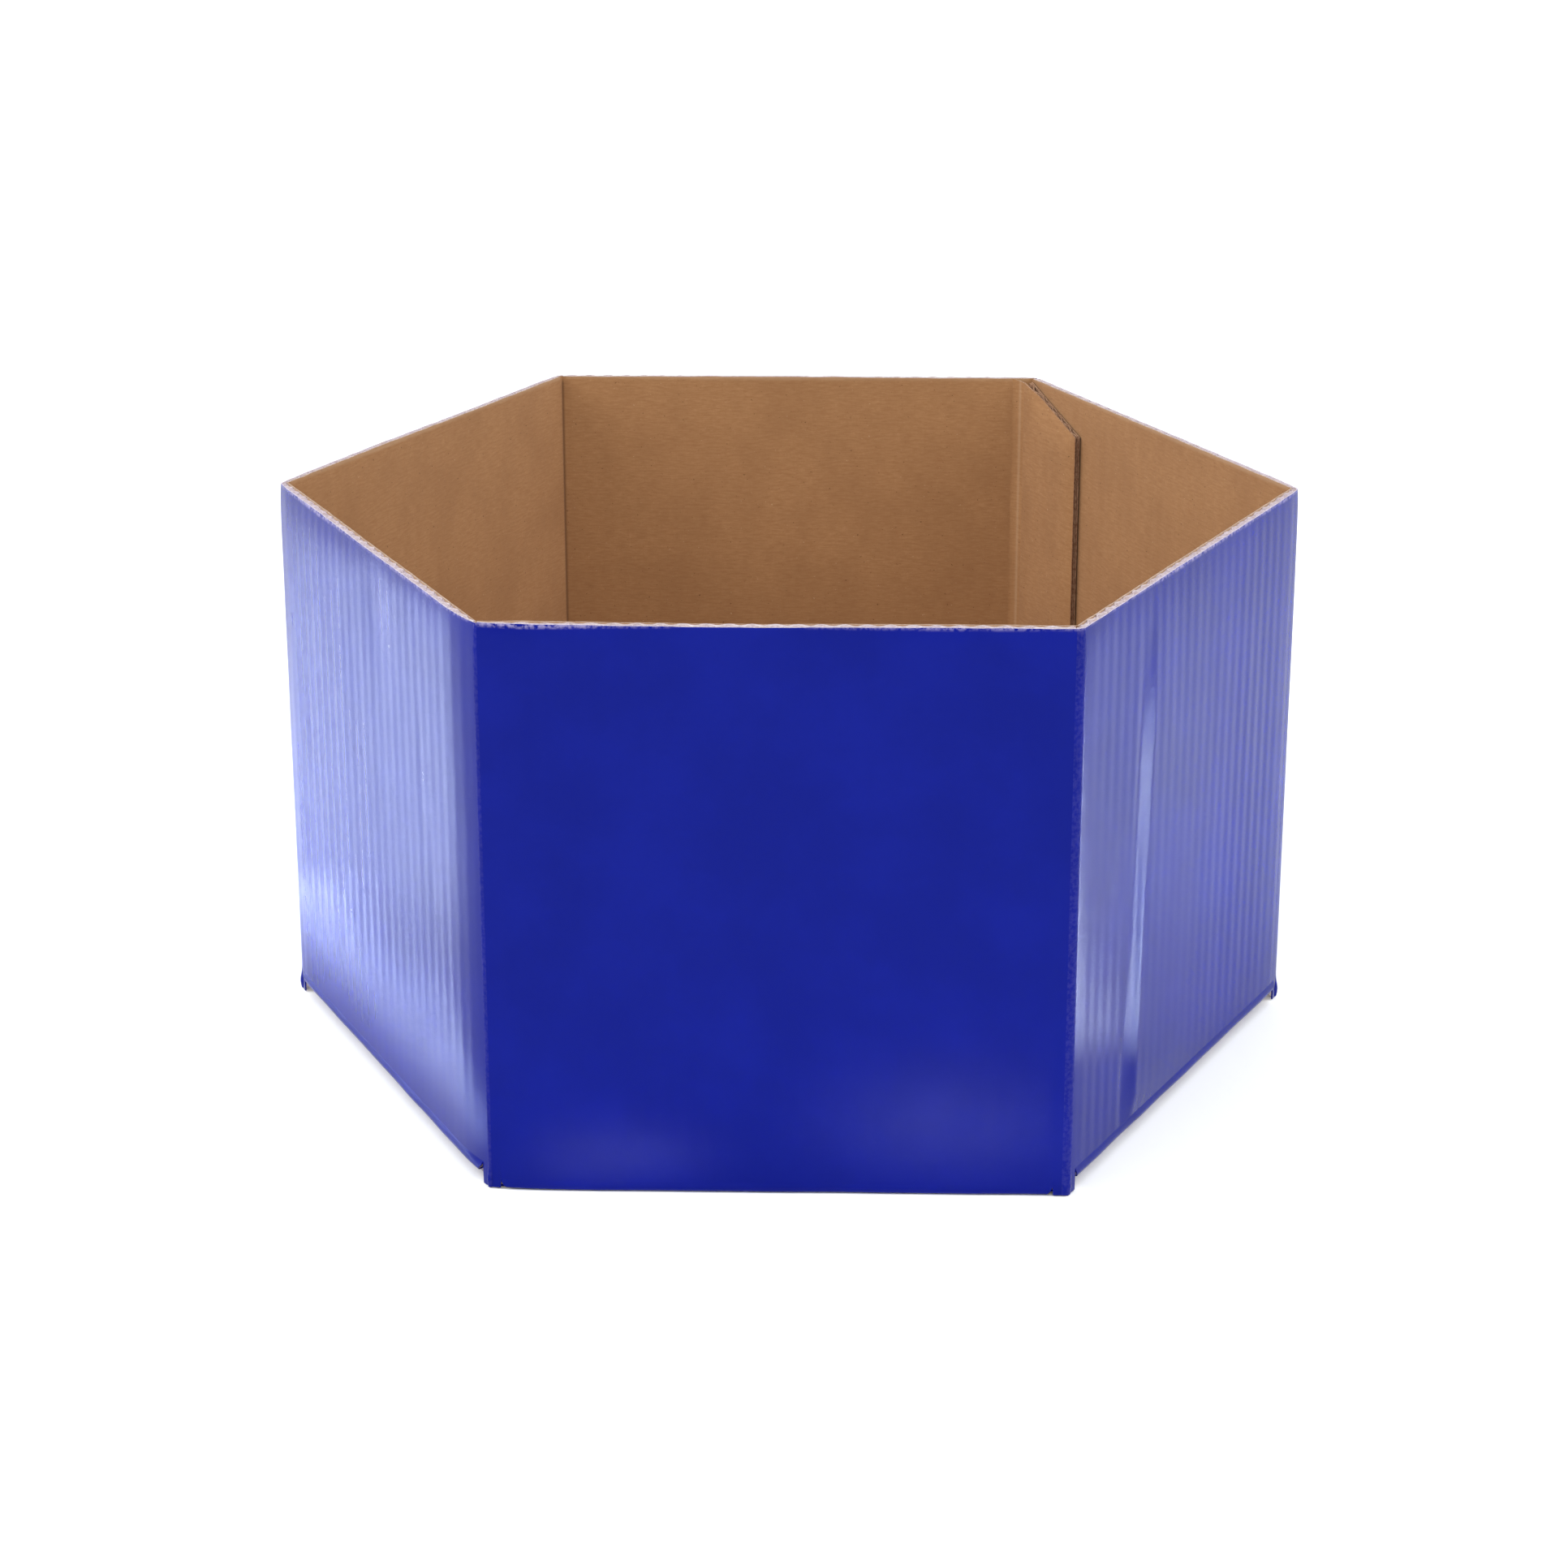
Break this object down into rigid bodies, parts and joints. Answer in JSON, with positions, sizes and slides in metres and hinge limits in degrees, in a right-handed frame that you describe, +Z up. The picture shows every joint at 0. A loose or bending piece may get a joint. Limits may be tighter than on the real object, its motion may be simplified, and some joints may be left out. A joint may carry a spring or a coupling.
{
  "type": "hexagonal corrugated cardboard flower box",
  "caption": "Open-topped hexagonal box folded from one blank of thin corrugated board, printed outside and kraft inside, with creased corners, a folded base and a glued seam.",
  "frame": {"origin": "centre of the base, on the surface that the box stands on", "axes": "+Z up through the open top, +X to the right corner along the longest width, and the front wall, which carries the base panel, faces -Y"},
  "size_m": [0.1698, 0.1598, 0.091],
  "materials": {
    "printed_liner": "dark blue print under a glossy film",
    "kraft_liner": "uncoated brown kraft paper",
    "fluted_medium": "uncoated pale paper, fluted",
    "adhesive": "dried packaging glue"
  },
  "bodies": {
    "wall_front": {"wall_front_outer_liner": "printed_liner", "wall_front_flutes": "fluted_medium", "wall_front_inner_liner": "kraft_liner", "crease_front_left": "printed_liner", "crease_front_right": "printed_liner", "base_crease_front": "printed_liner"},
    "wall_front_right": {"wall_front_right_outer_liner": "printed_liner", "wall_front_right_flutes": "fluted_medium", "wall_front_right_inner_liner": "kraft_liner", "crease_right": "printed_liner", "base_crease_front_right": "printed_liner"},
    "wall_back_right": {"wall_back_right_outer_liner": "printed_liner", "wall_back_right_flutes": "fluted_medium", "wall_back_right_inner_liner": "kraft_liner", "base_crease_back_right": "printed_liner"},
    "wall_back": {"wall_back_outer_liner": "printed_liner", "wall_back_flutes": "fluted_medium", "wall_back_inner_liner": "kraft_liner", "crease_back_right": "printed_liner", "base_crease_back": "printed_liner"},
    "wall_back_left": {"wall_back_left_outer_liner": "printed_liner", "wall_back_left_flutes": "fluted_medium", "wall_back_left_inner_liner": "kraft_liner", "crease_back_left": "printed_liner", "base_crease_back_left": "printed_liner"},
    "wall_front_left": {"wall_front_left_outer_liner": "printed_liner", "wall_front_left_flutes": "fluted_medium", "wall_front_left_inner_liner": "kraft_liner", "crease_left": "printed_liner", "base_crease_front_left": "printed_liner"},
    "base_panel": {"base_panel_outer_liner": "printed_liner", "base_panel_flutes": "fluted_medium", "base_panel_inner_liner": "kraft_liner"},
    "flap_front_right": {"flap_front_right_outer_liner": "printed_liner", "flap_front_right_flutes": "fluted_medium", "flap_front_right_inner_liner": "kraft_liner"},
    "flap_back_right": {"flap_back_right_outer_liner": "printed_liner", "flap_back_right_flutes": "fluted_medium", "flap_back_right_inner_liner": "kraft_liner"},
    "flap_back": {"flap_back_outer_liner": "printed_liner", "flap_back_flutes": "fluted_medium", "flap_back_inner_liner": "kraft_liner"},
    "flap_back_left": {"flap_back_left_outer_liner": "printed_liner", "flap_back_left_flutes": "fluted_medium", "flap_back_left_inner_liner": "kraft_liner"},
    "flap_front_left": {"flap_front_left_outer_liner": "printed_liner", "flap_front_left_flutes": "fluted_medium", "flap_front_left_inner_liner": "kraft_liner"},
    "glue_flap": {"glue_flap_outer_liner": "printed_liner", "glue_flap_flutes": "fluted_medium", "glue_flap_inner_liner": "kraft_liner", "glue_line": "adhesive"}
  },
  "joints": [
    {"name": "fold", "type": "hinge", "parent": "wall_front", "child": "wall_front_right", "pos_m": [0.04375, -0.0781, 0.045], "axis": [0, 0, -1], "range_deg": [0, 62.2], "deforming": ["crease_front_right"]},
    {"name": "front_left_fold", "type": "hinge", "parent": "wall_front", "child": "wall_front_left", "pos_m": [-0.04375, -0.0781, 0.045], "axis": [0, 0, 1], "range_deg": [0, 62.2], "deforming": ["crease_front_left"]},
    {"name": "right_fold", "type": "hinge", "parent": "wall_front_right", "child": "wall_back_right", "pos_m": [0.0832, 0, 0.045], "axis": [0, 0, 1], "range_deg": [0, 124.5], "deforming": ["crease_right"]},
    {"name": "left_fold", "type": "hinge", "parent": "wall_front_left", "child": "wall_back_left", "pos_m": [-0.0832, 0, 0.045], "axis": [0, 0, -1], "range_deg": [0, 124.5], "deforming": ["crease_left"]},
    {"name": "back_left_fold", "type": "hinge", "parent": "wall_back_left", "child": "wall_back", "pos_m": [-0.04375, 0.0781, 0.045], "axis": [0, 0, 1], "range_deg": [0, 62.2], "deforming": ["crease_back_left"]},
    {"name": "glue_flap_fold", "type": "hinge", "parent": "wall_back", "child": "glue_flap", "pos_m": [0.04375, 0.0781, 0.045], "axis": [0, 0, 1], "range_deg": [0, 62.2], "deforming": ["crease_back_right"]},
    {"name": "base_panel_hinge", "type": "hinge", "parent": "wall_front", "child": "base_panel", "pos_m": [0, -0.0781, 0.00175], "axis": [-1, 0, 0], "range_deg": [0, 88.7], "deforming": ["base_crease_front"]},
    {"name": "flap_front_right_hinge", "type": "hinge", "parent": "wall_front_right", "child": "flap_front_right", "pos_m": [0.06348, -0.03905, 0.0038], "axis": [-0.4509, -0.8926, 0], "range_deg": [0, 88.7], "deforming": ["base_crease_front_right"]},
    {"name": "flap_back_right_hinge", "type": "hinge", "parent": "wall_back_right", "child": "flap_back_right", "pos_m": [0.06348, 0.03905, 0.0038], "axis": [0.4509, -0.8926, 0], "range_deg": [0, 88.7], "deforming": ["base_crease_back_right"]},
    {"name": "flap_back_hinge", "type": "hinge", "parent": "wall_back", "child": "flap_back", "pos_m": [0, 0.0781, 0.0038], "axis": [1, 0, 0], "range_deg": [0, 88.7], "deforming": ["base_crease_back"]},
    {"name": "flap_back_left_hinge", "type": "hinge", "parent": "wall_back_left", "child": "flap_back_left", "pos_m": [-0.06348, 0.03905, 0.0038], "axis": [0.4509, 0.8926, 0], "range_deg": [0, 88.7], "deforming": ["base_crease_back_left"]},
    {"name": "flap_front_left_hinge", "type": "hinge", "parent": "wall_front_left", "child": "flap_front_left", "pos_m": [-0.06348, -0.03905, 0.0038], "axis": [-0.4509, 0.8926, 0], "range_deg": [0, 88.7], "deforming": ["base_crease_front_left"]}
  ],
  "couplings": [
    {"joint": "front_left_fold", "follows": "fold", "ratio": 1},
    {"joint": "right_fold", "follows": "fold", "ratio": 2},
    {"joint": "left_fold", "follows": "fold", "ratio": 2},
    {"joint": "back_left_fold", "follows": "fold", "ratio": 1},
    {"joint": "glue_flap_fold", "follows": "fold", "ratio": 1},
    {"joint": "base_panel_hinge", "follows": "fold", "ratio": 1.4241},
    {"joint": "flap_front_right_hinge", "follows": "fold", "ratio": 1.4241},
    {"joint": "flap_back_right_hinge", "follows": "fold", "ratio": 1.4241},
    {"joint": "flap_back_hinge", "follows": "fold", "ratio": 1.4241},
    {"joint": "flap_back_left_hinge", "follows": "fold", "ratio": 1.4241},
    {"joint": "flap_front_left_hinge", "follows": "fold", "ratio": 1.4241}
  ]
}
